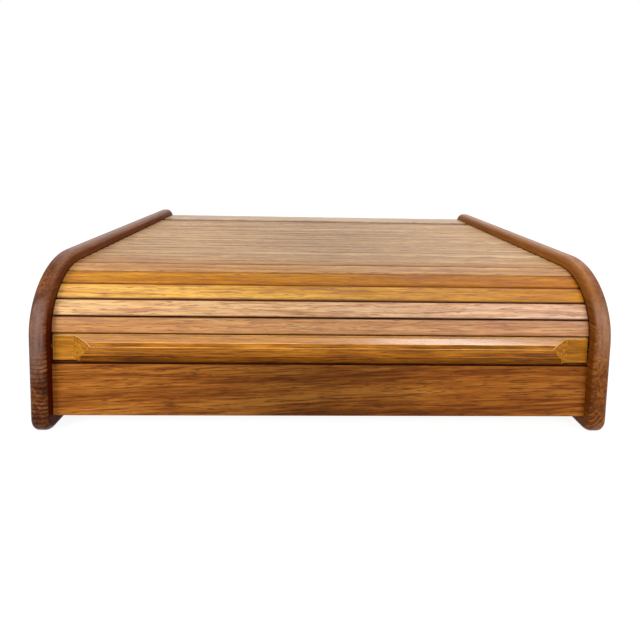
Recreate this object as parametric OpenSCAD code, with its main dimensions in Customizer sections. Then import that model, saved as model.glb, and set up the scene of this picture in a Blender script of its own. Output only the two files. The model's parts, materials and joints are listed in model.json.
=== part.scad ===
// Tambour lid box for papers: two solid cheeks carry a front board, a back board, a base
// and a curtain of narrow slats on canvas, which runs in a track cut into each cheek.
// X is to the right, Y is to the back, Z is up. The origin is on the table, below the
// middle of the box. The box is drawn with its curtain shut.

/* [Box] */
// Clear width between the cheeks
clear_w = 312; // [220:1:400]
// Thickness of a cheek
cheek_t = 10; // [9.5:0.5:20]
// How far the cheeks stand out past the curtain and the boards
rim = 7; // [4:0.5:14]
// Radius of the rounding along a cheek's edges
cheek_round = 3.5; // [3.5:1:4.5]
// Radius of a cheek's two bottom corners, seen from the side
foot_r = 10; // [6:1:18]
// Radius of a cheek's upper back corner, seen from the side
rear_corner_r = 18; // [8:1:30]
// Height of the boards above the table
foot_drop = 8.5; // [4:0.5:14]
// Height of the curtain's flat top above the table
top_z = 92; // [84:1:140]

/* [Boards] */
// Height of the front board
board_h = 32; // [24:0.5:34]
// Thickness of the front board
board_t = 9; // [8:0.5:14]
// Thickness of the back board
back_t = 7; // [7:0.5:14]
// Thickness of the base panel
base_t = 6; // [4:0.5:8]
// Height of the base panel's underside above the boards' lower edges
base_lift = 2; // [0:0.5:6]
// Thickness of the inner back, which keeps papers off the curtain's tail
inner_back_t = 4; // [3:0.5:6]
// Height of the coved rear rail
rear_rail_h = 17.7; // [14:0.1:24]
// Thickness of the rear rail's front lip
lip_t = 1.6; // [1:0.1:3]
// Bevel along the boards' outer edges
board_bevel = 0.8; // [0.2:0.1:2]

/* [Curtain] */
// Distance from one slat to the next
slat_pitch = 9.5; // [9.3:0.1:10]
// Gap between two slats on the flat top
slat_gap = 0.6; // [0.5:0.05:0.8]
// Thickness of a slat
slat_t = 3.3; // [3.3:0.05:3.6]
// Bevel along a slat's outer edges
slat_bevel = 0.6; // [0.3:0.05:0.8]
// Width of the bevel along a slat's inner edges, which lets the slats tilt as they run
slat_relief = 1.4; // [1.2:0.05:1.8]
// Depth of that bevel, as a share of its width
relief_share = 0.6; // [0.5:0.05:0.7]
// Radius of both bends, at mid thickness of the slats
bend_r = 34; // [33:0.5:36]
// Number of slat pitches between the two bends
flat_slats = 18; // [16:1:22]
// Number of slats behind the lead rail
slat_count = 26; // [26:1:26]
// Number of pitches that the curtain travels
travel_slats = 5; // [4:1:5]
// Gap between a slat's end and the cheek
slat_end_gap = 0.4; // [0.3:0.1:0.8]
// Thickness of the canvas backing
canvas_t = 0.6; // [0.4:0.1:0.7]
// Width of the canvas strip on one slat
canvas_strip_w = 7.4; // [5:0.1:7.6]
// Distance from the canvas's edge to the cheek
canvas_margin = 14; // [8:1:30]

/* [Track] */
// Depth of the track in a cheek
track_depth = 5; // [3:0.5:6]
// Reach of the track outwards from the slats' mid plane
track_out = 1.9; // [1.85:0.05:2.1]
// Reach of the track inwards from the slats' mid plane
track_in = 3.2; // [3.15:0.05:3.6]
// Diameter of the tongue at each end of a slat
tongue_d = 2; // [1.6:0.1:2]
// Distance of the tongue inwards from the slats' mid plane
tongue_drop = 0.6; // [0.5:0.05:0.6]
// Gap between a tongue's tip and the bottom of the track
tongue_tip_gap = 0.5; // [0.3:0.1:1]
// Gap between a tongue and the end of the track
track_end_gap = 0.5; // [0.3:0.1:2]
// Room behind the curtain's mid plane for its tail to swing outwards
swing_out = 3.6; // [3.5:0.1:6]
// Room in front of the curtain's mid plane for its tail to swing inwards
swing_in = 4.5; // [4.4:0.1:6]

/* [Lead rail] */
// Gap between the front board and the lead rail
rail_gap = 1.3; // [0.8:0.1:2]
// Gap between the rail's end and the cheek
rail_end_gap = 0.8; // [0.6:0.1:2]
// How far the pull's sharp edge stands out from the rail
pull_out = 6.4; // [3:0.1:7]
// Length of the plain block at each end of the rail
pull_inset = 12; // [6:0.5:30]
// How far each carved end of the pull slopes back
pull_slope = 12; // [3:0.5:16]
// Plain margin along the rail's upper and lower edges
pull_margin = 0.6; // [0.3:0.1:1.5]
// Height of the pull's lower lip
pull_lip_h = 3; // [2:0.1:5]
// How far the lower lip stands out from the rail
pull_lip_out = 2.4; // [1:0.1:4]
// Height and reach of the small step above the lower lip
pull_step = 0.5; // [0.2:0.1:1]
// Height of the sharp edge above the rail's middle
pull_edge_h = 3; // [0:0.1:4]
// Reach of the fold halfway up the pull's top, as a share of the sharp edge's reach
pull_fold = 0.72; // [0.5:0.02:0.9]
// Reach of the top of the pull, as a share of the sharp edge's reach
pull_top = 0.14; // [0.05:0.01:0.4]

/* [Joinery] */
// Diameter of the dowels
dowel_d = 6; // [4:0.5:6]
// Depth of a dowel's hole in a cheek
dowel_in_cheek = 7; // [5:0.5:8]
// Depth of a dowel's hole in a board
dowel_in_board = 12; // [8:0.5:20]
// Gap at each end of a dowel
dowel_end_gap = 0.5; // [0.2:0.1:1]
// Gap around a dowel
dowel_fit = 0.05; // [0.02:0.01:0.1]
// Heights of the front board's dowels, as shares of its height
front_dowel_shares = [0.25, 0.75];
// Heights of the back board's dowels, as shares of its height
back_dowel_shares = [0.15, 0.5, 0.85];
// How far the rear rail's dowels stand in front of the back board's
rail_dowel_shift = 1; // [0:0.5:2]
// Depth of the housing for the base panel in a cheek
base_housing = 4; // [2:0.5:6]
// Depth of the housing for the inner back in a cheek
back_housing = 3; // [2:0.5:6]
// Gap between a panel's end and the bottom of its housing
housing_gap = 0.1; // [0.05:0.05:0.3]

/* [Hidden] */
$fn = 64;
round_steps = 8;
eps = 1;
fine_eps = 0.1;

// Places along Y and Z that all the pieces share
slat_w = slat_pitch - slat_gap;
slat_face = bend_r + slat_t / 2;
bend_len = bend_r * PI / 2;
flat_len = flat_slats * slat_pitch;
box_depth = rim + slat_face + flat_len + bend_r + swing_out + back_t + rim;
cheek_front = -box_depth / 2;
cheek_back = box_depth / 2;
cheek_top = top_z + rim;
board_face = cheek_front + rim;
front_c = board_face + slat_face;
rear_c = front_c + flat_len;
bend_z = top_z - slat_face;
back_inner = rear_c + bend_r + swing_out;
back_face = back_inner + back_t;
board_top = foot_drop + board_h;
base_z = foot_drop + base_lift;
base_top = base_z + base_t;
rear_rail_z = top_z - rear_rail_h;
cove_r = bend_r + swing_out;
lip_y = rear_c + sqrt(pow(cove_r, 2) - pow(slat_face - lip_t, 2));
inner_back_y = rear_c + bend_r - swing_in - inner_back_t;

// The curtain: a place along its path is counted from the foot of the front bend
bend_slats = floor(bend_len / slat_pitch);
travel = travel_slats * slat_pitch;
first_slat = bend_len - bend_slats * slat_pitch;
rail_top = first_slat - slat_pitch / 2 - slat_gap / 2;
rail_foot = board_top + rail_gap - bend_z;
rail_h = rail_top - rail_foot;
rail_s = (rail_top + rail_foot) / 2;
flat_first = bend_slats;
flat_last = bend_slats + flat_slats - travel_slats;
tail_travel = first_slat + (slat_count - 1) * slat_pitch + travel;
tail_drop = tail_travel - 2 * bend_len - flat_len;
slat_len = clear_w - 2 * slat_end_gap;
rail_len = clear_w - 2 * rail_end_gap;
canvas_w = clear_w - 2 * canvas_margin;
tongue_span = clear_w + 2 * (track_depth - tongue_tip_gap);
track_w = track_out + track_in;

function slat_s(k) = first_slat + k * slat_pitch;
function path_turn(s) =
    s < 0 ? 90
    : s < bend_len ? 90 - s / bend_r * 180 / PI
    : s < bend_len + flat_len ? 0
    : -(s - bend_len - flat_len) / bend_r * 180 / PI;
function path_y(s) =
    s < 0 ? front_c - bend_r
    : s < bend_len ? front_c - bend_r * sin(path_turn(s))
    : s < bend_len + flat_len ? front_c + s - bend_len
    : rear_c - bend_r * sin(path_turn(s));
function path_z(s) = s < 0 ? bend_z + s : bend_z + bend_r * cos(path_turn(s));
function number_name(k) = str(k < 9 ? "0" : "", k + 1);
function slat_name(k) = str("slat_", number_name(k));
function canvas_name(k) = str("canvas_", number_name(k));
function arc(x, y, r, from, to) =
    [for (i = [0:round_steps]) let (a = from + (to - from) * i / round_steps)
        [x + r * cos(a), y + r * sin(a)]];

all_slats = [0:slat_count - 1];
bend_slat_list = [for (k = all_slats) if (k < flat_first || k > flat_last) k];
front_dowel_z = [for (share = front_dowel_shares) foot_drop + share * board_h];
back_board_h = rear_rail_z - foot_drop;
back_dowel_z = [for (share = back_dowel_shares) foot_drop + share * back_board_h];
front_dowel_y = board_face + board_t / 2;
back_dowel_y = back_inner + back_t / 2;
rail_dowel_y = back_dowel_y - rail_dowel_shift;
rail_dowel_z = rear_rail_z + rear_rail_h / 2;

// A cheek lies flat while it is built: x runs to the back, y runs up, and z is its
// thickness, with the inner face on top.
module stand_up() {
    rotate([90, 0, 90]) children();
}

// Half of a cheek's rounded section, as far as reach from its inner edge
module edge_section(reach) {
    half = cheek_t / 2;
    flat = half - cheek_round;
    polygon(concat(
        [[0, -half]],
        arc(reach - cheek_round, -flat, cheek_round, -90, 0),
        arc(reach - cheek_round, flat, cheek_round, 0, 90),
        [[0, half]]));
}

module cheek_corner(x, y, reach, from) {
    translate([x, y, 0]) rotate([0, 0, from]) rotate_extrude(angle = 90) edge_section(reach);
}

module cheek_edge(x, y, turn, length) {
    translate([x, y, 0]) rotate([0, 0, turn]) stand_up()
        linear_extrude(length) edge_section(cheek_round);
}

module cheek_blank() {
    front_r = slat_face + rim;
    rear_x = cheek_back - rear_corner_r;
    rear_y = cheek_top - rear_corner_r;
    foot_front = cheek_front + foot_r;
    foot_back = cheek_back - foot_r;
    front_in = cheek_front + cheek_round;
    back_in = cheek_back - cheek_round;
    top_in = cheek_top - cheek_round;
    cheek_corner(front_c, bend_z, front_r, 90);
    cheek_corner(rear_x, rear_y, rear_corner_r, 0);
    cheek_corner(foot_back, foot_r, foot_r, 270);
    cheek_corner(foot_front, foot_r, foot_r, 180);
    cheek_edge(front_c, top_in, 0, rear_x - front_c);
    cheek_edge(back_in, rear_y, -90, rear_y - foot_r);
    cheek_edge(foot_back, cheek_round, 180, foot_back - foot_front);
    cheek_edge(front_in, foot_r, 90, bend_z - foot_r);
    translate([0, 0, -cheek_t / 2]) linear_extrude(cheek_t) polygon([
        [front_c, bend_z], [front_c, top_in], [rear_x, top_in], [rear_x, rear_y],
        [back_in, rear_y], [back_in, foot_r], [foot_back, foot_r],
        [foot_back, cheek_round], [foot_front, cheek_round], [foot_front, foot_r],
        [front_in, foot_r], [front_in, bend_z]]);
}

module track_bend(x, from) {
    translate([x, bend_z, 0]) rotate([0, 0, from]) rotate_extrude(angle = 90)
        translate([bend_r - track_in, 0]) square([track_w, track_depth + eps]);
}

// The track, standing on the bottom of its own slot
module track() {
    front_x = front_c - bend_r - track_out;
    rear_x = rear_c + bend_r - track_in;
    end_room = tongue_d / 2 + track_end_gap;
    front_foot = bend_z + rail_s - end_room;
    rear_foot = bend_z - tail_drop - end_room;
    track_bend(front_c, 90);
    track_bend(rear_c, 0);
    translate([front_x, front_foot, 0]) cube([track_w, bend_z - front_foot, track_depth + eps]);
    translate([rear_x, rear_foot, 0]) cube([track_w, bend_z - rear_foot, track_depth + eps]);
    translate([front_c, bend_z + bend_r - track_in, 0])
        cube([flat_len, track_w, track_depth + eps]);
}

module dowel_hole(y, z) {
    translate([y, z, cheek_t / 2 - dowel_in_cheek])
        cylinder(h = dowel_in_cheek + eps, d = dowel_d + 2 * dowel_fit);
}

module cheek() {
    base_front = board_face + board_t;
    difference() {
        cheek_blank();
        translate([0, 0, cheek_t / 2 - track_depth]) track();
        translate([base_front, base_z, cheek_t / 2 - base_housing])
            cube([back_inner - base_front, base_t, base_housing + eps]);
        translate([inner_back_y, base_top, cheek_t / 2 - back_housing])
            cube([inner_back_t, bend_z - base_top, back_housing + eps]);
        for (z = front_dowel_z) dowel_hole(front_dowel_y, z);
        for (z = back_dowel_z) dowel_hole(back_dowel_y, z);
        dowel_hole(rail_dowel_y, rail_dowel_z);
    }
}

module left_cheek() {
    color([0.42, 0.22, 0.11])
        translate([-(clear_w + cheek_t) / 2, 0, 0]) stand_up() cheek();
}

module right_cheek() {
    color([0.66, 0.42, 0.22])
        mirror([1, 0, 0]) translate([-(clear_w + cheek_t) / 2, 0, 0]) stand_up() cheek();
}

// A piece with one section all along the clear width between the cheeks
module across(length) {
    translate([-length / 2, 0, 0]) stand_up() linear_extrude(length) children();
}

module board_dowel_holes(y, z_list) {
    for (side = [-1, 1], z = z_list)
        translate([side * (clear_w / 2 - dowel_in_board), y, z]) rotate([0, side * 90, 0])
            cylinder(h = dowel_in_board + eps, d = dowel_d + 2 * dowel_fit);
}

module dowels(y, z_list) {
    length = dowel_in_cheek + dowel_in_board - 2 * dowel_end_gap;
    start = clear_w / 2 - dowel_in_board + dowel_end_gap;
    color([0.82, 0.66, 0.44])
        for (side = [-1, 1], z = z_list)
            translate([side * start, y, z]) rotate([0, side * 90, 0])
                cylinder(h = length, d = dowel_d);
}

module front_board() {
    color([0.60, 0.36, 0.18]) difference() {
        across(clear_w) polygon([
            [board_face, foot_drop + board_bevel], [board_face + board_bevel, foot_drop],
            [board_face + board_t, foot_drop], [board_face + board_t, board_top],
            [board_face + board_bevel, board_top], [board_face, board_top - board_bevel]]);
        board_dowel_holes(front_dowel_y, front_dowel_z);
    }
}

module back_board() {
    color([0.58, 0.35, 0.18]) difference() {
        across(clear_w) polygon([
            [back_inner, foot_drop], [back_face - board_bevel, foot_drop],
            [back_face, foot_drop + board_bevel], [back_face, rear_rail_z],
            [back_inner, rear_rail_z]]);
        board_dowel_holes(back_dowel_y, back_dowel_z);
    }
}

module rear_rail() {
    color([0.62, 0.39, 0.21]) difference() {
        across(clear_w) polygon([
            [lip_y, rear_rail_z], [back_face, rear_rail_z], [back_face, top_z - board_bevel],
            [back_face - board_bevel, top_z], [lip_y, top_z]]);
        translate([-clear_w / 2 - eps, rear_c, bend_z]) rotate([0, 90, 0])
            cylinder(h = clear_w + 2 * eps, r = cove_r, $fn = 180);
        board_dowel_holes(rail_dowel_y, [rail_dowel_z]);
    }
}

module base_panel() {
    length = clear_w + 2 * (base_housing - housing_gap);
    base_front = board_face + board_t;
    color([0.72, 0.52, 0.32])
        translate([-length / 2, base_front, base_z])
            cube([length, back_inner - base_front, base_t]);
}

module inner_back() {
    length = clear_w + 2 * (back_housing - housing_gap);
    color([0.72, 0.52, 0.32])
        translate([-length / 2, inner_back_y, base_top])
            cube([length, inner_back_t, bend_z - base_top]);
}

// Puts a piece of the curtain at its place along the path, face outwards
module on_path(s) {
    translate([0, path_y(s), path_z(s)]) rotate([path_turn(s), 0, 0]) children();
}

module slat_section(width) {
    half = width / 2;
    top = slat_t / 2;
    relief_t = relief_share * slat_relief;
    polygon([
        [-half + slat_relief, -top], [half - slat_relief, -top], [half, relief_t - top],
        [half, top - slat_bevel], [half - slat_bevel, top], [slat_bevel - half, top],
        [-half, top - slat_bevel], [-half, relief_t - top]]);
}

module tongues() {
    translate([-tongue_span / 2, 0, -tongue_drop]) rotate([0, 90, 0])
        cylinder(h = tongue_span, d = tongue_d);
}

module slat(k) {
    shade = (k * 7 % 5) * 0.02;
    color([0.66 + shade, 0.43 + shade, 0.26 + shade])
        on_path(slat_s(k)) union() {
            across(slat_len) slat_section(slat_w);
            tongues();
        }
}

// The pull's section and its two sloped ends are cut from the same bar
module pull() {
    low = pull_margin - rail_h / 2;
    high = rail_h / 2 - pull_margin;
    base_half = rail_len / 2 - pull_inset;
    mid = (pull_edge_h + high) / 2;
    translate([0, 0, slat_t / 2]) intersection() {
        across(rail_len) polygon([
            [low, -slat_t / 2], [low, pull_lip_out], [low + pull_lip_h, pull_lip_out],
            [low + pull_lip_h + pull_step, pull_lip_out + pull_step], [pull_edge_h, pull_out],
            [mid, pull_fold * pull_out], [high, pull_top * pull_out], [high, -slat_t / 2]]);
        translate([0, rail_h / 2, 0]) rotate([90, 0, 0]) linear_extrude(rail_h) polygon([
            [-base_half, -slat_t / 2], [base_half, -slat_t / 2], [base_half, 0],
            [base_half - pull_slope, pull_out + fine_eps],
            [pull_slope - base_half, pull_out + fine_eps], [-base_half, 0]]);
    }
}

module lead_rail() {
    color([0.62, 0.37, 0.19])
        on_path(rail_s) union() {
            across(rail_len) slat_section(rail_h);
            pull();
            tongues();
        }
}

module canvas_sheet(width) {
    color([0.55, 0.50, 0.42])
        translate([-canvas_w / 2, -width / 2, -slat_t / 2 - canvas_t])
            cube([canvas_w, width, canvas_t]);
}

module canvas_rail() {
    on_path(rail_s) canvas_sheet(rail_h - slat_w + canvas_strip_w);
}

module canvas_strip(k) {
    on_path(slat_s(k)) canvas_sheet(canvas_strip_w);
}

module canvas_top() {
    length = (flat_last - flat_first) * slat_pitch + canvas_strip_w;
    on_path((slat_s(flat_first) + slat_s(flat_last)) / 2) canvas_sheet(length);
}

left_cheek();
right_cheek();
front_board();
back_board();
inner_back();
base_panel();
rear_rail();
dowels(front_dowel_y, front_dowel_z);  // front_dowels
dowels(back_dowel_y, back_dowel_z);  // back_dowels
dowels(rail_dowel_y, [rail_dowel_z]);  // rear_rail_dowels
lead_rail();
canvas_rail();
canvas_top();
for (k = all_slats) slat(k);
for (k = bend_slat_list) canvas_strip(k);
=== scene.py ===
import json
import math

import bmesh
import bpy
from mathutils import Matrix, Vector

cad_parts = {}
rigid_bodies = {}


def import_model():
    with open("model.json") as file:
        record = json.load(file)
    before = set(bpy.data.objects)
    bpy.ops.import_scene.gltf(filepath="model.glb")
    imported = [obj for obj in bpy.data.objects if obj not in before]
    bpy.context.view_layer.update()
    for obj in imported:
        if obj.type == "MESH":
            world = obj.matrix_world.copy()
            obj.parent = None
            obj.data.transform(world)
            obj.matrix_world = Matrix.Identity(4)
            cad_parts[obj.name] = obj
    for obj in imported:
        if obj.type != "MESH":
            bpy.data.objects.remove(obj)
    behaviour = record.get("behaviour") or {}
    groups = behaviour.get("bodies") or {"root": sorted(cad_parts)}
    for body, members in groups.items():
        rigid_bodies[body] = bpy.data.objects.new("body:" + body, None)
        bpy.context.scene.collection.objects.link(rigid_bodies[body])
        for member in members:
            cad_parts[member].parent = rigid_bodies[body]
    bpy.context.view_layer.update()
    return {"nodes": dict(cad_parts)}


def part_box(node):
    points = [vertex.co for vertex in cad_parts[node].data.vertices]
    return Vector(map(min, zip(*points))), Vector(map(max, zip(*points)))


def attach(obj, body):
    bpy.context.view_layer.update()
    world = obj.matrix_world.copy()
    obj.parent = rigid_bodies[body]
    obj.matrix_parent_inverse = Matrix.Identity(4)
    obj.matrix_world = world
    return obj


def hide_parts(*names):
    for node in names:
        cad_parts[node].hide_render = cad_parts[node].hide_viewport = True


scene = bpy.context.scene
for leftover in list(bpy.data.objects):
    bpy.data.objects.remove(leftover)

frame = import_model()


def addNode(tree, kind, sockets=None, **settings):
    node = tree.nodes.new(kind)
    for key, value in settings.items():
        setattr(node, key, value)
    for key, value in (sockets or {}).items():
        if isinstance(value, bpy.types.NodeSocket):
            tree.links.new(value, node.inputs[key])
        else:
            node.inputs[key].default_value = value
    return node


def calc(tree, operation, *values):
    return addNode(tree, "ShaderNodeMath", dict(enumerate(values)), operation=operation).outputs[0]


def vectorCalc(tree, operation, *values):
    node = addNode(tree, "ShaderNodeVectorMath", dict(enumerate(values)), operation=operation)
    return node.outputs[0]


def remap(tree, value, fromMin, fromMax, toMin=0.0, toMax=1.0):
    return addNode(tree, "ShaderNodeMapRange",
                   {"Value": value, "From Min": fromMin, "From Max": fromMax,
                    "To Min": toMin, "To Max": toMax}).outputs["Result"]


noiseSpan = (0.3, 0.7)  # most of a noise's values lie between these


def noise(tree, vector, stretch, detail, roughness=0.55):
    scaled = vectorCalc(tree, "MULTIPLY", vector, stretch)
    return addNode(tree, "ShaderNodeTexNoise",
                   {"Vector": scaled, "Scale": 1.0, "Detail": detail,
                    "Roughness": roughness}).outputs["Fac"]


def mixColour(tree, factor, first, second, blend="MIX"):
    node = addNode(tree, "ShaderNodeMix", data_type="RGBA", blend_type=blend)
    for key, value in ((0, factor), (6, first), (7, second)):
        if isinstance(value, bpy.types.NodeSocket):
            tree.links.new(value, node.inputs[key])
        else:
            node.inputs[key].default_value = value
    return node.outputs[2]


def scaleColour(tree, colour, level):
    levels = addNode(tree, "ShaderNodeCombineColor", {0: level, 1: level, 2: level}).outputs[0]
    return mixColour(tree, 1.0, colour, levels, "MULTIPLY")


def attribute(tree, name):
    return addNode(tree, "ShaderNodeAttribute", attribute_name=name).outputs


def rgb(red, green, blue):
    return (red, green, blue, 1.0)


def grey(level):
    return rgb(level, level, level)


def newMaterial(name):
    material = bpy.data.materials.new(name)
    material.use_nodes = True
    material.node_tree.nodes.clear()
    return material, material.node_tree


# where a cheek's painted highlight, painted shade and gloss change, as distances from the middle of
# the box and as heights
cheekWear = {"edgeStart": (0.1563, 0.1578), "edgeEnd": (0.1630, 0.1654),
             "innerFace": (0.1564, 0.1561), "innerGloss": 0.2,
             "crest": (0.0935, 0.0975), "crestShare": 0.75,
             "upperAcross": (0.1612, 0.1590), "upperHeight": (0.066, 0.086),
             "brushStretch": (420, 420, 30), "brushLevels": (0.32, 0.60, 0.45, 1.0)}


def addRings(tree, colour, wood, place, grain, height):
    # growth rings, which show as lines where the cheek's edge cuts across the grain
    spread = noise(tree, grain, wood["ringSpread"], 3.0)
    ringPlace = addNode(tree, "ShaderNodeVectorMath", {0: grain, 1: wood["ringNormal"]},
                        operation="DOT_PRODUCT").outputs["Value"]
    ringPlace = calc(tree, "MULTIPLY_ADD", ringPlace, wood["rings"],
                     calc(tree, "MULTIPLY", spread, wood["ringDrift"]))
    ringLine = remap(tree, calc(tree, "PINGPONG", ringPlace, 1.0), wood["ringFrom"], 1.0)
    where = remap(tree, noise(tree, place, wood["ringPatches"], 1.0), *wood["ringPatchEdge"])
    where = calc(tree, "MULTIPLY", where, remap(tree, height, *wood["ringFade"]))
    share = calc(tree, "MULTIPLY", calc(tree, "MULTIPLY", ringLine, where), wood["ringShare"])
    return mixColour(tree, share, colour, wood["ringColour"])


def addWear(tree, colour, wood, place, across, height, inner):
    # painted highlight: a paler streaky stretch on the cheek's rounded edge and crest; painted
    # shade: a dark colour on its inner face; painted light high on the inner face
    worn = calc(tree, "MULTIPLY", remap(tree, across, *cheekWear["edgeStart"]),
                remap(tree, height, *wood["bloomFrom"]))
    worn = calc(tree, "MULTIPLY", worn, remap(tree, across, *cheekWear["edgeEnd"], 1.0, 0.0))
    worn = calc(tree, "MULTIPLY", worn, calc(
        tree, "ADD", remap(tree, height, *wood["bloomTo"], 1.0, wood["shoulderBloom"]),
        remap(tree, height, *cheekWear["crest"], 0.0, cheekWear["crestShare"])))
    brushed = noise(tree, place, cheekWear["brushStretch"], 3.0, 0.6)
    worn = calc(tree, "MULTIPLY", worn, remap(tree, brushed, *cheekWear["brushLevels"]))
    colour = mixColour(tree, calc(tree, "MULTIPLY", worn, wood["bloomShare"]), colour,
                       wood["bloom"])
    # painted shade on the inner face, weaker higher up
    low = remap(tree, height, *wood["innerTo"], 1.0, wood["upperInner"])
    dark = calc(tree, "MULTIPLY", calc(tree, "MULTIPLY", inner, low), wood["innerShare"])
    colour = mixColour(tree, dark, colour, wood["innerColour"])
    # painted light on the upper part of the inner face
    upper = calc(tree, "MULTIPLY", remap(tree, across, *cheekWear["upperAcross"]),
                 remap(tree, height, *cheekWear["upperHeight"]))
    return mixColour(tree, calc(tree, "MULTIPLY", upper, wood["upperShare"]), colour,
                     wood["upperColour"])


def addShade(tree, colour, along, centre, reach, amount):
    # painted shade: one darker stretch along the piece's X, the way the grain runs
    away = calc(tree, "ABSOLUTE", calc(tree, "SUBTRACT", along, centre))
    level = addNode(tree, "ShaderNodeMapRange",
                    {"Value": away, "From Max": reach, "To Min": 1.0 - amount, "To Max": 1.0},
                    interpolation_type="SMOOTHSTEP").outputs["Result"]
    return scaleColour(tree, colour, level)


# The grain runs along X before "turn" is applied. Stretches are cells per metre.
def makeWood(name, wood):
    material, tree = newMaterial(name)
    onPiece = addNode(tree, "ShaderNodeTexCoord").outputs["Object"]
    position = addNode(tree, "ShaderNodeSeparateXYZ", {"Vector": onPiece}).outputs
    across = calc(tree, "ABSOLUTE", position["X"])
    place = addNode(tree, "ShaderNodeMapping",
                    {"Vector": onPiece, "Rotation": [math.radians(a) for a in wood["turn"]],
                     "Location": wood["offset"]}).outputs["Vector"]
    if wood.get("perSlat"):
        index = attribute(tree, "slatIndex")["Fac"]
        step = addNode(tree, "ShaderNodeCombineXYZ", {0: index, 1: index, 2: index}).outputs[0]
        place = vectorCalc(tree, "ADD", place, vectorCalc(tree, "MULTIPLY", step, wood["slatStep"]))

    # slow waves bend the grain lines
    wave = addNode(tree, "ShaderNodeTexNoise",
                   {"Vector": vectorCalc(tree, "MULTIPLY", place, wood["waveStretch"]),
                    "Scale": 1.0, "Detail": 2.0}).outputs["Color"]
    wave = vectorCalc(tree, "SUBTRACT", wave, (0.5, 0.5, 0.5))
    wave = vectorCalc(tree, "MULTIPLY", wave, (0.0, wood["wave"], wood["wave"]))
    grain = vectorCalc(tree, "ADD", place, wave)

    def stretched(key, detail, roughness=0.55):
        alongGrain, acrossGrain = wood[key]
        return noise(tree, grain, (alongGrain, acrossGrain, acrossGrain), detail, roughness)

    def spots(key, detail, start, softness):
        return remap(tree, stretched(key, detail), start, start + softness)

    def aroundZero(value, share):
        return calc(tree, "MULTIPLY", calc(tree, "SUBTRACT", value, 0.5), share)

    streak = stretched("streak", 4.0, 0.65)
    fibre = stretched("fibre", 2.0)
    lines = spots("line", 2.0, wood["lineFrom"], wood["lineSoft"])
    pores = spots("pore", 1.0, wood["poreFrom"], wood["poreSoft"])

    tone = calc(tree, "ADD", aroundZero(stretched("figure", 3.0), wood["figureShare"]),
                aroundZero(streak, wood["streakShare"]))
    ramp = addNode(tree, "ShaderNodeValToRGB", {"Fac": calc(tree, "ADD", tone, 0.5)})
    elements = ramp.color_ramp.elements
    elements[0].position, elements[0].color = 0.2, wood["dark"]
    elements[1].position, elements[1].color = 0.8, wood["light"]
    elements.new(0.5).color = wood["middle"]
    colour = ramp.outputs["Color"]
    specular = wood["specular"]
    if wood.get("perSlat"):
        # on the first slats this per-slat tone carries painted light and shade as well as the
        # wood's own tone
        slatTone = attribute(tree, "slatTone")
        specular = calc(tree, "MULTIPLY", slatTone["Alpha"], wood["specular"])
        colour = mixColour(tree, 1.0, colour, slatTone["Color"], "MULTIPLY")
        joint = calc(tree, "MAXIMUM", attribute(tree, "slatEdge")["Fac"],
                     remap(tree, across, *wood["endDark"]))
        colour = mixColour(tree, calc(tree, "MULTIPLY", joint, wood["jointShare"]), colour,
                           wood["poreColour"])
    colour = mixColour(tree, calc(tree, "MULTIPLY", lines, wood["lineShare"]), colour,
                       wood["lineColour"])
    colour = scaleColour(tree, colour, remap(tree, fibre, *noiseSpan, 1.0 - wood["fibreShare"],
                                             1.0 + wood["fibreShare"]))
    if wood.get("ringShare"):
        colour = addRings(tree, colour, wood, place, grain, position["Z"])
    colour = mixColour(tree, calc(tree, "MULTIPLY", pores, wood["poreShare"]), colour,
                       wood["poreColour"])
    # painted highlight and painted shade on the cheeks; the inner face also gets less gloss
    if wood.get("bloom"):
        inner = remap(tree, across, *cheekWear["innerFace"])
        specular = calc(tree, "MULTIPLY_ADD", inner,
                        (cheekWear["innerGloss"] - 1.0) * wood["specular"], wood["specular"])
        colour = addWear(tree, colour, wood, place, across, position["Z"], inner)
    # painted shade: a darker stretch along X
    if wood.get("shade"):
        colour = addShade(tree, colour, position["X"], *wood["shade"])

    rough = remap(tree, streak, *noiseSpan, wood["rough"] - wood["roughSpread"],
                  wood["rough"] + wood["roughSpread"])
    rough = calc(tree, "ADD", rough, calc(tree, "MULTIPLY", pores, wood["poreRough"]))
    relief = calc(tree, "SUBTRACT", calc(tree, "MULTIPLY", streak, wood["streakRelief"]),
                  calc(tree, "MULTIPLY", pores, wood["poreRelief"]))
    relief = calc(tree, "ADD", relief, calc(tree, "MULTIPLY", fibre, wood["fibreRelief"]))
    bump = addNode(tree, "ShaderNodeBump",
                   {"Height": relief, "Strength": wood["bump"],
                    "Distance": wood["reliefDepth"]}).outputs["Normal"]
    shader = addNode(tree, "ShaderNodeBsdfPrincipled",
                     {"Base Color": colour, "Roughness": rough, "Normal": bump,
                      "IOR": 1.45, "Specular IOR Level": specular,
                      "Coat Weight": wood["coat"], "Coat Roughness": wood["coatRough"],
                      "Coat IOR": wood["coatIor"]})
    addNode(tree, "ShaderNodeOutputMaterial", {"Surface": shader.outputs[0]})
    return material


woodBase = {"turn": (0, 0, 0), "offset": (0.0, 0.0, 0.0), "wave": 0.004,
            "waveStretch": (9.0, 42.0, 42.0),
            "figure": (6, 90), "figureShare": 1.1, "streak": (30, 520), "streakShare": 1.3,
            "line": (40, 1050), "lineFrom": 0.53, "lineSoft": 0.09, "lineShare": 0.55,
            "fibre": (70, 1500), "fibreShare": 0.22,
            "pore": (130, 1700), "poreFrom": 0.6, "poreSoft": 0.07, "poreShare": 0.6,
            "rough": 0.42, "roughSpread": 0.06, "poreRough": 0.15,
            "specular": 0.2, "coat": 0.0, "coatRough": 0.15, "coatIor": 1.5,
            "bump": 0.4, "streakRelief": 0.5, "poreRelief": 0.8, "fibreRelief": 0.3,
            "reliefDepth": 0.0002}


def woodFor(name, **changes):
    return makeWood(name, {**woodBase, **changes})


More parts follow.
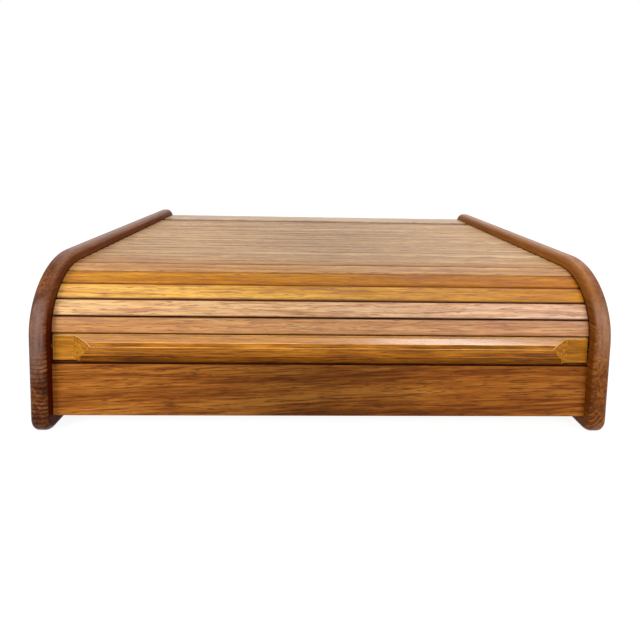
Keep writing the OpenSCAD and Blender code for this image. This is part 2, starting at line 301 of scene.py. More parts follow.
cheekBase = {"turn": (0, 0, 90), "figureShare": 1.0, "streakShare": 1.1, "poreShare": 0.3,
             "specular": 0.12, "bump": 0.35, "ringPatchEdge": (0.36, 0.5)}
# on the cheeks, the pale edge colour is a painted highlight on the rounded front edge, the dark
# inner colour is painted shade on the inner face, and the upper colour is painted light high on the
# inner face
leftCheekWood = woodFor(
    "leftCheekWood", **cheekBase, offset=(0.02, 0.0, 0.01), rough=0.3,
    dark=rgb(0.055, 0.009, 0.002), middle=rgb(0.155, 0.040, 0.007), light=rgb(0.36, 0.135, 0.030),
    lineColour=rgb(0.035, 0.007, 0.003), poreColour=rgb(0.020, 0.005, 0.003),
    rings=760.0, ringNormal=(0.03, 0.06, 1.0), ringDrift=2.6, ringFrom=0.35, ringShare=0.95,
    ringSpread=(12, 40, 150), ringPatches=(20, 60, 90), ringColour=rgb(0.016, 0.003, 0.001),
    ringFade=(0.075, 0.055),
    bloom=rgb(0.30, 0.175, 0.14), bloomFrom=(0.030, 0.052), bloomTo=(0.070, 0.080),
    shoulderBloom=0.15, bloomShare=0.62, innerColour=rgb(0.066, 0.005, 0.0005), innerShare=0.95,
    innerTo=(0.060, 0.080), upperInner=0.6, upperColour=rgb(0.20, 0.075, 0.030), upperShare=0.3)
rightCheekWood = woodFor(
    "rightCheekWood", **cheekBase, offset=(0.31, 0.12, 0.05), rough=0.28,
    dark=rgb(0.10, 0.024, 0.004), middle=rgb(0.205, 0.058, 0.007), light=rgb(0.36, 0.125, 0.020),
    lineColour=rgb(0.07, 0.017, 0.005), poreColour=rgb(0.045, 0.012, 0.004),
    rings=820.0, ringNormal=(0.03, -0.82, 0.57), ringDrift=1.1, ringFrom=0.76, ringShare=0.75,
    ringSpread=(12, 70, 70), ringPatches=(20, 30, 40), ringColour=rgb(0.50, 0.215, 0.065),
    ringFade=(0.062, 0.030),
    bloom=rgb(0.44, 0.225, 0.135), bloomFrom=(0.040, 0.060), bloomTo=(0.074, 0.084),
    shoulderBloom=0.35, bloomShare=0.66, innerColour=rgb(0.15, 0.038, 0.002), innerShare=0.65,
    innerTo=(0.052, 0.070), upperInner=0.0, upperColour=rgb(0.40, 0.155, 0.030), upperShare=0.45)
# the board's shade is painted shade, darker towards the middle of its length
boardWood = woodFor(
    "boardWood", turn=(0, 2.4, 0), offset=(0.13, 0.4, 0.21), shade=(-0.005, 0.12, 0.46),
    line=(26, 1050), lineShare=0.68,
    dark=rgb(0.19, 0.048, 0.006), middle=rgb(0.355, 0.108, 0.013), light=rgb(0.52, 0.195, 0.030),
    lineColour=rgb(0.13, 0.028, 0.006), poreColour=rgb(0.075, 0.018, 0.006), specular=0.09)
# painted shade: near-black wood for the front board's bevelled top edge under the rail
boardTopWood = woodFor(
    "boardTopWood", offset=(0.13, 0.4, 0.21), dark=rgb(0.016, 0.005, 0.002),
    middle=rgb(0.030, 0.009, 0.003), light=rgb(0.055, 0.017, 0.005),
    lineColour=rgb(0.012, 0.004, 0.002), poreColour=rgb(0.01, 0.003, 0.002), specular=0.04)


def railWoodFor(name, **changes):
    return woodFor(name, offset=(0.7, 0.2, 0.5), **changes)


railColours = {"dark": rgb(0.26, 0.080, 0.006), "middle": rgb(0.46, 0.175, 0.013),
               "light": rgb(0.60, 0.26, 0.028), "lineColour": rgb(0.19, 0.050, 0.006),
               "poreColour": rgb(0.11, 0.030, 0.006)}
# settings shared by the rail's painted-shade copies for the facets below its top
railLower = {"figureShare": 1.1, "streakShare": 1.5, "lineShare": 0.5, "poreShare": 0.5,
             "lineColour": rgb(0.13, 0.030, 0.003), "poreColour": rgb(0.07, 0.017, 0.003),
             "coat": 0.1, "coatRough": 0.2, "specular": 0.06, "rough": 0.34}
railWood = railWoodFor(
    "railWood", figureShare=0.9, streakShare=1.0, lineShare=0.3, poreShare=0.4,
    coat=1.0, coatRough=0.26, coatIor=1.8, rough=0.28, specular=0.10, **railColours)
# painted shade: a darker copy of the rail wood for the facets that face down
railShadeWood = railWoodFor(
    "railShadeWood", dark=rgb(0.18, 0.048, 0.003), middle=rgb(0.40, 0.132, 0.008),
    light=rgb(0.60, 0.23, 0.020), **railLower)
# painted shade: a darker copy of the rail wood for the band facet under the top facet, darker still
# towards the right
railBandWood = railWoodFor(
    "railBandWood", dark=rgb(0.18, 0.046, 0.003), middle=rgb(0.40, 0.126, 0.007),
    light=rgb(0.60, 0.22, 0.018), shade=(0.08, 0.13, 0.34), **railLower)
railBlockWood = railWoodFor(
    "railBlockWood", figureShare=0.9, streakShare=1.1, lineShare=0.3, poreShare=0.4,
    coat=0.1, coatRough=0.2, specular=0.06, rough=0.34,
    **{**railColours, "middle": rgb(0.50, 0.188, 0.014), "light": rgb(0.66, 0.28, 0.028)})
railLipWood = railWoodFor(
    "railLipWood", figureShare=0.9, streakShare=1.1, lineShare=0.45, poreShare=0.5,
    dark=rgb(0.11, 0.028, 0.002), middle=rgb(0.235, 0.068, 0.004), light=rgb(0.36, 0.125, 0.010),
    lineColour=rgb(0.07, 0.016, 0.002), poreColour=rgb(0.05, 0.012, 0.002),
    specular=0.04, rough=0.4)
# painted highlight: a pale copy of the rail wood on the rounded arrises
railArrisWood = railWoodFor(
    "railArrisWood", streakShare=0.8, figureShare=0.8, lineShare=0.2, poreShare=0.2,
    dark=rgb(0.52, 0.25, 0.055), middle=rgb(0.78, 0.44, 0.13), light=rgb(0.90, 0.58, 0.22),
    lineColour=rgb(0.40, 0.16, 0.03), poreColour=rgb(0.3, 0.11, 0.02),
    coat=0.5, coatRough=0.2, specular=0.2)
# painted shade: near-black wood on the small step that faces down under the pull
railGrooveWood = railWoodFor(
    "railGrooveWood", dark=rgb(0.020, 0.006, 0.002), middle=rgb(0.045, 0.013, 0.003),
    light=rgb(0.08, 0.026, 0.006), lineColour=rgb(0.014, 0.004, 0.002),
    poreColour=rgb(0.01, 0.003, 0.002), specular=0.05)
railEndWood = railWoodFor(
    "railEndWood", figure=(120, 160), figureShare=0.9, streak=(420, 520), streakShare=1.0,
    line=(260, 620), lineFrom=0.5, lineShare=0.6, fibre=(400, 700), fibreShare=0.2,
    poreShare=0.0, rough=0.4, specular=0.12,
    **{**railColours, "middle": rgb(0.46, 0.170, 0.010), "light": rgb(0.60, 0.26, 0.022)})
# the slats' shade is painted shade, darker in the middle of each slat's length
slatWood = woodFor(
    "slatWood", perSlat=True, slatStep=(0.37, 0.113, 0.271), endDark=(0.1551, 0.1556),
    jointShare=0.8, streak=(22, 560), lineShare=0.55, poreShare=0.6, figure=(7, 210),
    figureShare=1.5, streakShare=1.4, shade=(0.01, 0.15, 0.21),
    dark=rgb(0.42, 0.19, 0.060), middle=rgb(0.60, 0.32, 0.115), light=rgb(0.74, 0.45, 0.19),
    lineColour=rgb(0.34, 0.13, 0.055), poreColour=rgb(0.20, 0.08, 0.035),
    specular=0.45, rough=0.42)
rearRailWood = woodFor(
    "rearRailWood", offset=(0.9, 0.35, 0.15), streak=(22, 560), lineShare=0.3, poreShare=0.5,
    dark=rgb(0.38, 0.225, 0.120), middle=rgb(0.52, 0.350, 0.215), light=rgb(0.63, 0.46, 0.305),
    lineColour=rgb(0.32, 0.18, 0.11), poreColour=rgb(0.22, 0.12, 0.07), specular=0.6)
innerWood = woodFor(
    "innerWood", offset=(0.5, 0.9, 0.3), figureShare=0.8, streakShare=0.9, lineShare=0.25,
    dark=rgb(0.36, 0.19, 0.085), middle=rgb(0.50, 0.29, 0.135), light=rgb(0.62, 0.40, 0.21),
    lineColour=rgb(0.30, 0.15, 0.07), poreColour=rgb(0.24, 0.12, 0.06), rough=0.6)
dowelWood = woodFor(
    "dowelWood", offset=(0.2, 0.6, 0.8), figureShare=0.6, streakShare=0.7, lineShare=0.2,
    dark=rgb(0.50, 0.34, 0.17), middle=rgb(0.62, 0.45, 0.25), light=rgb(0.72, 0.56, 0.34),
    lineColour=rgb(0.42, 0.28, 0.14), poreColour=rgb(0.36, 0.22, 0.11), rough=0.7)
print("wood materials made")


def makeCanvas(name, cloth):
    material, tree = newMaterial(name)
    place = addNode(tree, "ShaderNodeTexCoord").outputs["Object"]
    drift = calc(tree, "MULTIPLY", noise(tree, place, cloth["driftStretch"], 2.0), cloth["drift"])
    position = addNode(tree, "ShaderNodeSeparateXYZ", {"Vector": place}).outputs

    def threadSine(distance):
        line = calc(tree, "ADD", calc(tree, "MULTIPLY", distance, cloth["threads"]), drift)
        return calc(tree, "SINE", line)

    down = calc(tree, "SUBTRACT", position["Y"], position["Z"])
    weave = calc(tree, "MULTIPLY", threadSine(position["X"]), threadSine(down))
    weave = calc(tree, "MULTIPLY_ADD", weave, 0.5, 0.5)
    slub = noise(tree, place, cloth["slubStretch"], 3.0)
    tone = calc(tree, "MULTIPLY_ADD", weave, 0.5, calc(tree, "MULTIPLY", slub, 0.5))
    ramp = addNode(tree, "ShaderNodeValToRGB", {"Fac": tone})
    elements = ramp.color_ramp.elements
    elements[0].position, elements[0].color = 0.15, cloth["dark"]
    elements[1].position, elements[1].color = 0.85, cloth["light"]
    bump = addNode(tree, "ShaderNodeBump",
                   {"Height": weave, "Strength": cloth["bump"],
                    "Distance": cloth["reliefDepth"]}).outputs["Normal"]
    shader = addNode(tree, "ShaderNodeBsdfPrincipled",
                     {"Base Color": ramp.outputs["Color"], "Roughness": cloth["rough"],
                      "Normal": bump, "Sheen Weight": cloth["sheen"]})
    addNode(tree, "ShaderNodeOutputMaterial", {"Surface": shader.outputs[0]})
    return material


canvasCloth = makeCanvas("canvasCloth", {
    "threads": 2 * math.pi / 0.0011,  # one thread and its gap is 1.1 mm
    "driftStretch": (900, 900, 900), "drift": 0.9, "slubStretch": (260, 40, 40),
    "dark": rgb(0.20, 0.165, 0.115), "light": rgb(0.42, 0.37, 0.28),
    "bump": 0.6, "reliefDepth": 0.0002, "rough": 0.85, "sheen": 0.25})


def makePiece(name, mesh, material=None):
    piece = bpy.data.objects.new(name, mesh)
    scene.collection.objects.link(piece)
    if material:
        mesh.materials.clear()
        mesh.materials.append(material)
    return piece


def softenShading(mesh, degrees):
    mesh.shade_smooth()
    mesh.set_sharp_from_angle(angle=math.radians(degrees))


rounding = {"mergeDistance": 0.000002, "flatAngle": 0.5, "cornerAngle": 22, "segments": 3,
            "shadingAngle": 32}


def copyOfNode(name, node, material, bevel):
    mesh = frame["nodes"][node].data.copy()
    mesh.name = name
    edit = bmesh.new()
    edit.from_mesh(mesh)
    bmesh.ops.remove_doubles(edit, verts=edit.verts, dist=rounding["mergeDistance"])
    bmesh.ops.dissolve_limit(edit, angle_limit=math.radians(rounding["flatAngle"]),
                             verts=edit.verts, edges=edit.edges)
    bmesh.ops.recalc_face_normals(edit, faces=edit.faces)
    for stored in [a for a in mesh.attributes if a.name == "custom_normal"]:
        mesh.attributes.remove(stored)
    edit.to_mesh(mesh)
    edit.free()
    piece = makePiece(name, mesh, material)
    softenShading(mesh, rounding["shadingAngle"])
    roundOff = piece.modifiers.new("rounding", "BEVEL")
    roundOff.width = bevel
    roundOff.segments = rounding["segments"]
    roundOff.limit_method = "ANGLE"
    roundOff.angle_limit = math.radians(rounding["cornerAngle"])
    roundOff.harden_normals = True
    return piece


for cheekName, cheekMaterial in (("left_cheek", leftCheekWood), ("right_cheek", rightCheekWood)):
    frame["nodes"][cheekName].material_slots[0].material = cheekMaterial
for nodeName in ("base_panel", "inner_back"):
    frame["nodes"][nodeName].material_slots[0].material = innerWood
for nodeName in ("front_dowels", "back_dowels", "rear_rail_dowels"):
    frame["nodes"][nodeName].material_slots[0].material = dowelWood

boards = {"frontBoard": ("front_board", boardWood, 0.0006, "board"),
          "backBoard": ("back_board", boardWood, 0.0006, "board"),
          "rearRail": ("rear_rail", rearRailWood, 0.0004, "slat")}
boardTopSlope = (0.5, 0.9)  # how steep the front board's bevelled top edge is
for pieceName, (nodeName, material, bevel, slot) in boards.items():
    board = copyOfNode(pieceName, nodeName, material, bevel)
    if pieceName == "frontBoard":
        # painted shade: the bevelled top edge under the rail is coloured near-black
        board.data.materials.append(boardTopWood)
        for face in board.data.polygons:
            if boardTopSlope[0] < face.normal.z < boardTopSlope[1] and face.normal.y < 0:
                face.material_index = 1
    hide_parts(nodeName)
    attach(board, "box")

rail = {
    "bevel": 0.0004,
    "halfLength": 0.156,
    "blockLength": 0.0127,  # the plain block that the pull leaves at each end
    "blockInner": 0.150,  # edges farther out than this belong to a block
    "lipFoot": 0.0424,
    "lipTop": 0.0448,
    "arrisFoot": 0.046,  # above this height the edges are rounded; they catch the light and get the pale arris wood, a painted highlight
    "arrisAngle": 15,
    "bodyFront": 0.0002,  # how far in front of the board's face the rail's plain body ends
    "endFront": 0.0005,  # and how far in front of it the pull's sloped ends begin
    # how much of a face's normal points sideways, forward or up on each part
    "endSlope": 0.3,
    "blockSlope": 0.8,
    "grooveSlope": 0.6,
    "bandSlope": (0.4, 0.75),
    "shadeSlope": 0.2,
}
# the rail's woods in the order of its material slots
railWoods = {"front": railWood, "shade": railShadeWood, "lip": railLipWood, "end": railEndWood,
             "arris": railArrisWood, "groove": railGrooveWood, "band": railBandWood,
             "block": railBlockWood}
railSlots = {part: i for i, part in enumerate(railWoods)}
leadRail = copyOfNode("leadRail", "lead_rail", railWoods["front"], rail["bevel"])
for part in list(railWoods)[1:]:
    leadRail.data.materials.append(railWoods[part])
leadRail.modifiers["rounding"].material = railSlots["arris"]
leadRail.modifiers["rounding"].limit_method = "WEIGHT"
arrisAngle = math.radians(rail["arrisAngle"])
edit = bmesh.new()
edit.from_mesh(leadRail.data)
weights = edit.edges.layers.float.new("bevel_weight_edge")
for edge in edit.edges:
    if len(edge.link_faces) == 2 and edge.is_convex and edge.calc_face_angle() > arrisAngle:
        low = min(vertex.co.z for vertex in edge.verts)
        onBlock = min(abs(vertex.co.x) for vertex in edge.verts) > rail["blockInner"]
        edge[weights] = 1.0 if low > rail["arrisFoot"] or onBlock else 0.0
edit.to_mesh(leadRail.data)
edit.free()
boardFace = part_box("front_board")[0].y


def railPart(middle, normal):
    onBlock = abs(middle.x) > rail["halfLength"] - rail["blockLength"]
    atEnd = abs(normal.x) > rail["endSlope"]
    if middle.y > boardFace - rail["bodyFront"] or onBlock:
        if atEnd and middle.y < boardFace - rail["endFront"]:
            return "end"
        return "block" if onBlock and normal.y < -rail["blockSlope"] else "front"
    if atEnd:
        return "end"
    if normal.z < -rail["grooveSlope"] and middle.z > rail["lipFoot"]:
        return "groove"
    if rail["bandSlope"][0] < normal.z < rail["bandSlope"][1]:
        return "band"
    if normal.z < -rail["shadeSlope"]:
        return "shade"
    return "lip" if rail["lipFoot"] < middle.z < rail["lipTop"] else "front"


for face in leadRail.data.polygons:
    face.material_index = railSlots[railPart(face.center, face.normal)]
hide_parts("lead_rail")
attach(leadRail, "rail")
print("cheeks, boards and lead rail made")


slats = {
    "count": 26,
    "flatFirst": 5,  # the first and last slat of the flat group, counted from 0
    "flatLast": 18,
    "pitch": 0.0095,
    "width": 0.0089,
    "length": 0.3112,
    "thickness": 0.0033,
    "crown": 0.00012,
    "outerBevel": 0.0006,
    "innerBevel": 0.0014,
    "innerBevelDepth": 0.00084,
    "edgeSoftness": 0.00022,
    "edgeSteps": 2,
    "tongueDiameter": 0.002,
    "tongueDrop": 0.0006,
    "tongueSpan": 0.321,
    "tongueSides": 16,
    "jointReach": 0.0003,  # how far the dark of a joint comes in from a slat's side
    "shadingAngle": 34,
    "bendRadius": 0.034,
    "bendPitches": 5,
    "flatPitches": 18,
}
slatLow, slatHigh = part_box("slat_06")
bendLength = slats["bendRadius"] * math.pi / 2
flatLength = slats["flatPitches"] * slats["pitch"]
frontY = (slatLow.y + slatHigh.y) / 2
rearY = frontY + flatLength
bendZ = slatHigh.z - slats["thickness"] / 2 - slats["bendRadius"]


def onBend(centreY, turn):
    radius, angle = slats["bendRadius"], math.radians(turn)
    return centreY - radius * math.sin(angle), bendZ + radius * math.cos(angle)


def pathMatrix(place):
    # up the front, round the front bend, back along the top and round the rear bend
    radius = slats["bendRadius"]
    if place < 0:
        turn, y, z = 90.0, frontY - radius, bendZ + place
    elif place < bendLength:
        turn = 90 - math.degrees(place / radius)
        y, z = onBend(frontY, turn)
    elif place < bendLength + flatLength:
        turn, y, z = 0.0, frontY + place - bendLength, bendZ + radius
    else:
        turn = -math.degrees((place - bendLength - flatLength) / radius)
        y, z = onBend(rearY, turn)
    return Matrix.Translation((0, y, z)) @ Matrix.Rotation(math.radians(turn), 4, "X")


def slatPlace(index):
    return bendLength + (index - slats["bendPitches"]) * slats["pitch"]


def makeSlatTree():
    tree = bpy.data.node_groups.new("slatRow", "GeometryNodeTree")
    tree.is_modifier = True
    sockets = {}
    kinds = {"Float": ("length", "width", "thickness", "crown", "outerBevel", "innerBevel",
                       "innerBevelDepth", "edgeSoftness", "tongueDiameter", "tongueDrop",
                       "tongueSpan", "pitch"),
             "Int": ("count", "firstIndex"), "Material": ("wood",)}
    for kind, names in kinds.items():
        for name in names:
            sockets[name] = tree.interface.new_socket(name, in_out="INPUT",
                                                      socket_type="NodeSocket" + kind)
    tree.interface.new_socket("slats", in_out="OUTPUT", socket_type="NodeSocketGeometry")
    given = addNode(tree, "NodeGroupInput").outputs

    # the section's corners, seen from the slat's end: x across, y outwards
    half = calc(tree, "MULTIPLY", given["width"], 0.5)
    top = calc(tree, "MULTIPLY", given["thickness"], 0.5)
    bottom = calc(tree, "MULTIPLY", given["thickness"], -0.5)
    shoulder = calc(tree, "SUBTRACT", top, given["crown"])
    # half way out, a crown has dropped by a quarter
    nearTop = calc(tree, "SUBTRACT", top, calc(tree, "MULTIPLY", given["crown"], 0.25))
    topHalf = calc(tree, "SUBTRACT", half, given["outerBevel"])
    quarter = calc(tree, "MULTIPLY", topHalf, 0.5)
    bottomHalf = calc(tree, "SUBTRACT", half, given["innerBevel"])
    sideLow = calc(tree, "ADD", bottom, given["innerBevelDepth"])
    sideHigh = calc(tree, "SUBTRACT", shoulder, given["outerBevel"])

    def corner(x, y, side=1):
        if side < 0:
            x = calc(tree, "MULTIPLY", x, side)
        return addNode(tree, "ShaderNodeCombineXYZ", {0: x, 1: y}).outputs[0]

    corners = [corner(bottomHalf, bottom, -1), corner(bottomHalf, bottom),
               corner(half, sideLow), corner(half, sideHigh),
               corner(topHalf, shoulder), corner(quarter, nearTop),
               corner(0.0, top), corner(quarter, nearTop, -1),
               corner(topHalf, shoulder, -1), corner(half, sideHigh, -1),
               corner(half, sideLow, -1)]
    choose = tree.nodes.new("GeometryNodeIndexSwitch")
    choose.data_type = "VECTOR"
    while len(choose.index_switch_items) < len(corners):
        choose.index_switch_items.new()
    tree.links.new(addNode(tree, "GeometryNodeInputIndex").outputs[0], choose.inputs["Index"])
    for i, value in enumerate(corners):
        tree.links.new(value, choose.inputs[i + 1])
    outline = addNode(tree, "GeometryNodeCurvePrimitiveCircle", {"Resolution": len(corners)})
    outline = addNode(tree, "GeometryNodeSetPosition",
                      {"Geometry": outline.outputs["Curve"], "Position": choose.outputs[0]})
    outline = addNode(tree, "GeometryNodeFilletCurve",
                      {"Curve": outline.outputs[0], "Radius": given["edgeSoftness"]}, mode="POLY")
    outline.inputs["Count"].default_value = slats["edgeSteps"]

    def barAcross(span, profile):
        ends = {}
        for end, share in (("Start", -0.5), ("End", 0.5)):
            height = calc(tree, "MULTIPLY", span, share)
            ends[end] = addNode(tree, "ShaderNodeCombineXYZ", {2: height}).outputs[0]
        line = addNode(tree, "GeometryNodeCurvePrimitiveLine", ends).outputs[0]
        return addNode(tree, "GeometryNodeCurveToMesh",
                       {"Curve": line, "Profile Curve": profile.outputs[0], "Fill Caps": True})

    bar = barAcross(given["length"], outline)
    tongueRadius = calc(tree, "MULTIPLY", given["tongueDiameter"], 0.5)
    tongueOutline = addNode(tree, "GeometryNodeCurvePrimitiveCircle",
                            {"Resolution": slats["tongueSides"], "Radius": tongueRadius})
    tongue = barAcross(given["tongueSpan"], tongueOutline)
    drop = calc(tree, "MULTIPLY", given["tongueDrop"], -1.0)
    tongue = addNode(tree, "GeometryNodeTransform",
                     {"Geometry": tongue.outputs[0],
                      "Translation": addNode(tree, "ShaderNodeCombineXYZ", {1: drop}).outputs[0]})
    both = addNode(tree, "GeometryNodeJoinGeometry")
    tree.links.new(bar.outputs[0], both.inputs[0])
    tree.links.new(tongue.outputs[0], both.inputs[0])
    # laid along X: the section's x turns to Y and its y to Z
    lying = addNode(tree, "GeometryNodeTransform",
                    {"Geometry": both.outputs[0],
                     "Rotation": (math.radians(90), 0, math.radians(90))})
    offset = addNode(tree, "ShaderNodeCombineXYZ", {1: given["pitch"]}).outputs[0]
    row = addNode(tree, "GeometryNodeMeshLine", {"Count": given["count"], "Offset": offset})
    placed = addNode(tree, "GeometryNodeInstanceOnPoints",
                     {"Points": row.outputs[0], "Instance": lying.outputs[0]})
    index = addNode(tree, "GeometryNodeInputIndex").outputs[0]
    index = calc(tree, "ADD", index, given["firstIndex"])
    marked = addNode(tree, "GeometryNodeStoreNamedAttribute",
                     {"Geometry": placed.outputs[0], "Name": "slatIndex", "Value": index},
                     data_type="FLOAT", domain="INSTANCE")
    real = addNode(tree, "GeometryNodeRealizeInstances", {"Geometry": marked.outputs[0]})
    painted = addNode(tree, "GeometryNodeSetMaterial",
                      {"Geometry": real.outputs[0], "Material": given["wood"]})
    finished = addNode(tree, "NodeGroupOutput")
    tree.links.new(painted.outputs[0], finished.inputs[0])
    return tree, sockets


slatTree, slatSockets = makeSlatTree()

# each slat's colour, the first ones as the photograph shows them, where the wood's own tone is
# mixed with painted light and shade: lighter and darker halves, and a painted pale highlight on the
# right halves of the first two slats. (the left half's tone, the right half's tone, gloss)
slatTones = {0: ((0.90, 0.72, 0.50), (1.02, 0.94, 1.15), 1.0),
             1: ((1.13, 1.13, 1.06), (1.14, 1.21, 1.95), 1.0),
             2: ((1.28, 1.26, 0.74), (0.88, 0.64, 0.08), 0.7),
             3: ((0.84, 0.62, 0.15), (0.68, 0.40, 0.02), 0.35),
             4: ((0.92, 0.85, 0.72), (0.86, 0.80, 0.70), 1.0),
             5: ((0.86, 0.80, 0.64), (0.86, 0.80, 0.64), 1.0),
             6: ((0.85, 0.82, 0.74), (0.85, 0.82, 0.74), 1.0)}
topTone = ((0.84, 0.90, 1.05), (0.84, 0.90, 1.05), 1.0)
# how dark the joint is along a slat's lower and upper edge
slatJoints = {0: (1.0, 1.0), 1: (1.0, 1.0), 2: (1.0, 0.3), 3: (0.2, 0.1), 4: (0.15, 0.15)}
topJoint = (0.9, 0.6)
# how light the slats on the top are, one after the other
slatLevels = (1.00, 0.89, 1.11, 0.95, 1.06, 0.86, 1.09, 0.93, 1.15, 0.89, 1.03)


def makeSlats(name, first, count, matrix):
    base = bpy.data.objects.new(name + "Maker", bpy.data.meshes.new(name + "Maker"))
    scene.collection.objects.link(base)
    maker = base.modifiers.new("slatRow", "NODES")
    maker.node_group = slatTree
    for key, socket in slatSockets.items():
        if key in slats and key != "count":
            maker[socket.identifier] = slats[key]
    maker[slatSockets["count"].identifier] = count
    maker[slatSockets["firstIndex"].identifier] = first
    maker[slatSockets["wood"].identifier] = slatWood
    bpy.context.view_layer.update()
    graph = bpy.context.evaluated_depsgraph_get()
    mesh = bpy.data.meshes.new_from_object(base.evaluated_get(graph))
    bpy.data.objects.remove(base)
    mesh.name = name
    edges = mesh.attributes.new("slatEdge", "FLOAT", "POINT")
    nearSide = slats["width"] / 2 - slats["jointReach"]
    for vertex, value in zip(mesh.vertices, edges.data):
        number = round(vertex.co.y / slats["pitch"])
        across = vertex.co.y - number * slats["pitch"]
        joint = slatJoints.get(number + first, topJoint)[across > 0]
        value.value = joint if abs(across) > nearSide else 0.0
    mesh.transform(matrix)
    tones = mesh.attributes.new("slatTone", "FLOAT_COLOR", "POINT")
    for point, vertex, value in zip(mesh.attributes["slatIndex"].data, mesh.vertices, tones.data):
        index = round(point.value)
        level = slatLevels[index % len(slatLevels)] if index >= slats["flatFirst"] else 1.0
        leftTone, rightTone, gloss = slatTones.get(index, topTone)
        tone = [part * level for part in (leftTone if vertex.co.x < 0 else rightTone)]
        value.color = (*tone, gloss)
    piece = makePiece(name, mesh)
    softenShading(mesh, slats["shadingAngle"])
    return piece


flatCount = slats["flatLast"] - slats["flatFirst"] + 1
flatStart = pathMatrix(slatPlace(slats["flatFirst"]))
topSlats = makeSlats("topSlats", slats["flatFirst"], flatCount, flatStart)
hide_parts(*[f"slat_{k + 1:02d}"
                        for k in range(slats["flatFirst"], slats["flatLast"] + 1)])
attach(topSlats, "curtain_top")
bendSlats = [k for k in range(slats["count"]) if not slats["flatFirst"] <= k <= slats["flatLast"]]
for k in bendSlats:
    number = f"{k + 1:02d}"
    slat = makeSlats("slatPiece_" + number, k, 1, pathMatrix(slatPlace(k)))
    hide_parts("slat_" + number)
    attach(slat, "curtain_" + number)
print("slats made")


canvas = {"width": 0.284, "stripWidth": 0.0074, "thickness": 0.0006, "edgeShare": 0.3,
          "dip": 0.00012, "dipSteps": 6, "columns": 24, "shadingAngle": 40}


def makeCanvasSheet(name, spans, matrix):
    # spans are the stretches glued to a slat; between them the cloth dips towards the slats
    outer = -slats["thickness"] / 2
    inner = outer - canvas["thickness"]
    edge = canvas["thickness"] * canvas["edgeShare"]
    rows = []
    for i, (start, end) in enumerate(spans):
        if i == 0:
            rows += [(start, inner + edge, outer - edge), (start + edge, inner, outer)]
        else:
            rows.append((start, inner, outer))
        if i == len(spans) - 1:
            rows += [(end - edge, inner, outer), (end, inner + edge, outer - edge)]
        else:
            rows.append((end, inner, outer))
            following = spans[i + 1][0]
            for step in range(1, canvas["dipSteps"]):
                share = step / canvas["dipSteps"]
                lift = canvas["dip"] * math.sin(math.pi * share)
                rows.append((end + (following - end) * share, inner + lift, outer + lift))
    edit = bmesh.new()
    columns = canvas["columns"]
    grids = []
    for side in (1, 2):
        grids.append([[edit.verts.new((canvas["width"] * (i / columns - 0.5), row[0], row[side]))
                       for i in range(columns + 1)] for row in rows])
    low, high = grids
    for j in range(len(rows) - 1):
        for i in range(columns):
            edit.faces.new((low[j][i], low[j + 1][i], low[j + 1][i + 1], low[j][i + 1]))
            edit.faces.new((high[j][i], high[j][i + 1], high[j + 1][i + 1], high[j + 1][i]))
        edit.faces.new((low[j][0], high[j][0], high[j + 1][0], low[j + 1][0]))
        edit.faces.new((low[j][-1], low[j + 1][-1], high[j + 1][-1], high[j][-1]))
    for i in range(columns):
        edit.faces.new((low[0][i], low[0][i + 1], high[0][i + 1], high[0][i]))
        edit.faces.new((low[-1][i], high[-1][i], high[-1][i + 1], low[-1][i + 1]))
    bmesh.ops.recalc_face_normals(edit, faces=edit.faces)
    mesh = bpy.data.meshes.new(name)
    edit.to_mesh(mesh)
    edit.free()
    mesh.transform(matrix)
    piece = makePiece(name, mesh, canvasCloth)
    softenShading(mesh, canvas["shadingAngle"])
    return piece


stripHalf = canvas["stripWidth"] / 2
for k in bendSlats:
    number = f"{k + 1:02d}"
    strip = makeCanvasSheet("canvasStrip_" + number, [(-stripHalf, stripHalf)],
                            pathMatrix(slatPlace(k)))
    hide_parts("canvas_" + number)
    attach(strip, "curtain_" + number)

railLow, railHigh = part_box("canvas_rail")
railHalf = (railHigh.z - railLow.z) / 2
railPlace = (railHigh.z + railLow.z) / 2 - bendZ
railStrip = makeCanvasSheet("canvasRail", [(-railHalf, railHalf)], pathMatrix(railPlace))
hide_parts("canvas_rail")
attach(railStrip, "rail")

slatMiddles = [i * slats["pitch"] for i in range(flatCount)]
topSpans = [(middle - stripHalf, middle + stripHalf) for middle in slatMiddles]
topCanvas = makeCanvasSheet("canvasTop", topSpans, flatStart)
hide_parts("canvas_top")
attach(topCanvas, "curtain_top")
print("canvas made")


paperFloor = {"reach": 2, "paper": 0.42, "glow": 0.9, "shadow": 0.24}


def makeStageMaterial():
    material, tree = newMaterial("paperFloor")
    ray = addNode(tree, "ShaderNodeLightPath").outputs
    paper = addNode(tree, "ShaderNodeBsdfDiffuse", {"Color": grey(paperFloor["paper"])})
    # what the camera sees: nearly white by itself, with the object's shadow on it
    glow = addNode(tree, "ShaderNodeEmission", {"Strength": paperFloor["glow"]})
    shadowPart = addNode(tree, "ShaderNodeBsdfDiffuse", {"Color": grey(paperFloor["shadow"])})
    shown = addNode(tree, "ShaderNodeAddShader", {0: shadowPart.outputs[0], 1: glow.outputs[0]})
    plainWhite = addNode(tree, "ShaderNodeEmission", {"Strength": 1.0})
    mirrored = calc(tree, "MAXIMUM", ray["Is Glossy Ray"], ray["Is Transmission Ray"])
    final = addNode(tree, "ShaderNodeMixShader",
                    {0: ray["Is Camera Ray"], 1: paper.outputs[0], 2: shown.outputs[0]})
    final = addNode(tree, "ShaderNodeMixShader",
                    {0: mirrored, 1: final.outputs[0], 2: plainWhite.outputs[0]})
    addNode(tree, "ShaderNodeOutputMaterial", {"Surface": final.outputs[0]})
    return material


floorMesh = bpy.data.meshes.new("floor")
reach = paperFloor["reach"]
floorMesh.from_pydata([(-reach, -reach, 0), (reach, -reach, 0), (reach, reach, 0),
                       (-reach, reach, 0)], [], [(0, 1, 2, 3)])
floor = makePiece("floor", floorMesh, makeStageMaterial())

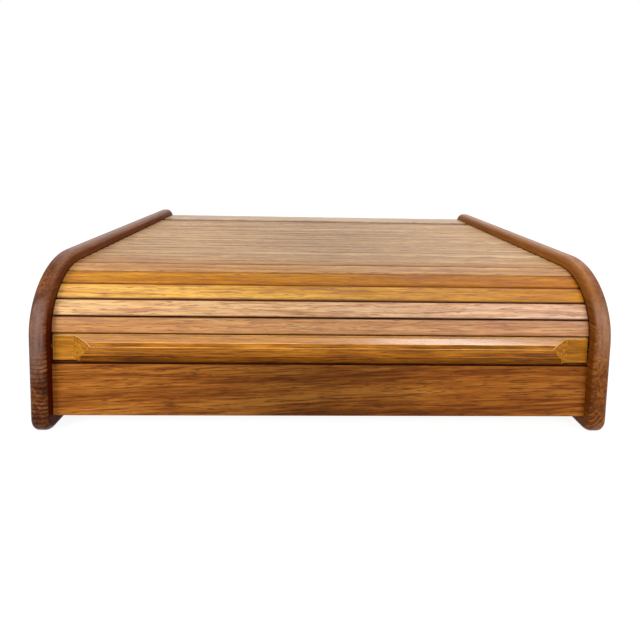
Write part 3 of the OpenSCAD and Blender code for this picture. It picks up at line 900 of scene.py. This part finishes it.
studio = {"light": 0.45, "seen": 1.0, "aim": (0, -0.05, 0.05)}
world = bpy.data.worlds.new("studio")
world.use_nodes = True
worldTree = world.node_tree
worldTree.nodes.clear()
ray = addNode(worldTree, "ShaderNodeLightPath").outputs
seen = calc(worldTree, "MAXIMUM", ray["Is Camera Ray"],
            calc(worldTree, "MAXIMUM", ray["Is Glossy Ray"], ray["Is Transmission Ray"]))
level = addNode(worldTree, "ShaderNodeMapRange",
                {"Value": seen, "To Min": studio["light"],
                 "To Max": studio["seen"]}).outputs["Result"]
sky = addNode(worldTree, "ShaderNodeBackground", {"Color": grey(1.0), "Strength": level})
addNode(worldTree, "ShaderNodeOutputWorld", {"Surface": sky.outputs[0]})
scene.world = world

lamps = {
    "keyLamp": {"place": (-0.62, -0.74, 0.36), "size": (0.3, 0.5), "power": 4.3},
    "frontLamp": {"place": (0.52, -0.90, 0.46), "size": (0.4, 0.55), "power": 3.4},
    "overLamp": {"place": (0.46, 0.16, 1.2), "size": (1.2, 0.36), "power": 8.0},
}
for lampName, lamp in lamps.items():
    data = bpy.data.lights.new(lampName, "AREA")
    data.shape = "RECTANGLE"
    data.size, data.size_y = lamp["size"]
    data.energy = lamp["power"]
    lampObject = bpy.data.objects.new(lampName, data)
    lampObject.location = lamp["place"]
    aim = Vector(studio["aim"]) - lampObject.location
    lampObject.rotation_euler = aim.to_track_quat("-Z", "Y").to_euler()
    scene.collection.objects.link(lampObject)

view = {"place": (-0.01324, -0.3931, 0.16373), "lens": 26.793, "sensor": 36, "shift": -0.2,
        "yaw": 1.854, "pitch": 4.861, "roll": 1.147, "nearest": 0.01}
yaw, pitch, roll = (math.radians(view[key]) for key in ("yaw", "pitch", "roll"))
ahead = Vector((math.sin(yaw) * math.cos(pitch), math.cos(yaw) * math.cos(pitch), -math.sin(pitch)))
right = Vector((math.cos(yaw), -math.sin(yaw), 0))
up = right.cross(ahead)
rolledRight = math.cos(roll) * right + math.sin(roll) * up
rolledUp = math.cos(roll) * up - math.sin(roll) * right
cameraData = bpy.data.cameras.new("camera")
cameraData.lens = view["lens"]
cameraData.sensor_width = view["sensor"]
cameraData.shift_y = view["shift"]
cameraData.clip_start = view["nearest"]
camera = bpy.data.objects.new("camera", cameraData)
camera.matrix_world = Matrix.Translation(view["place"]) @ Matrix(
    (rolledRight, rolledUp, -ahead)).transposed().to_4x4()
scene.collection.objects.link(camera)
scene.camera = camera
scene.view_settings.view_transform = "Standard"
print("stage, lamps and camera placed")
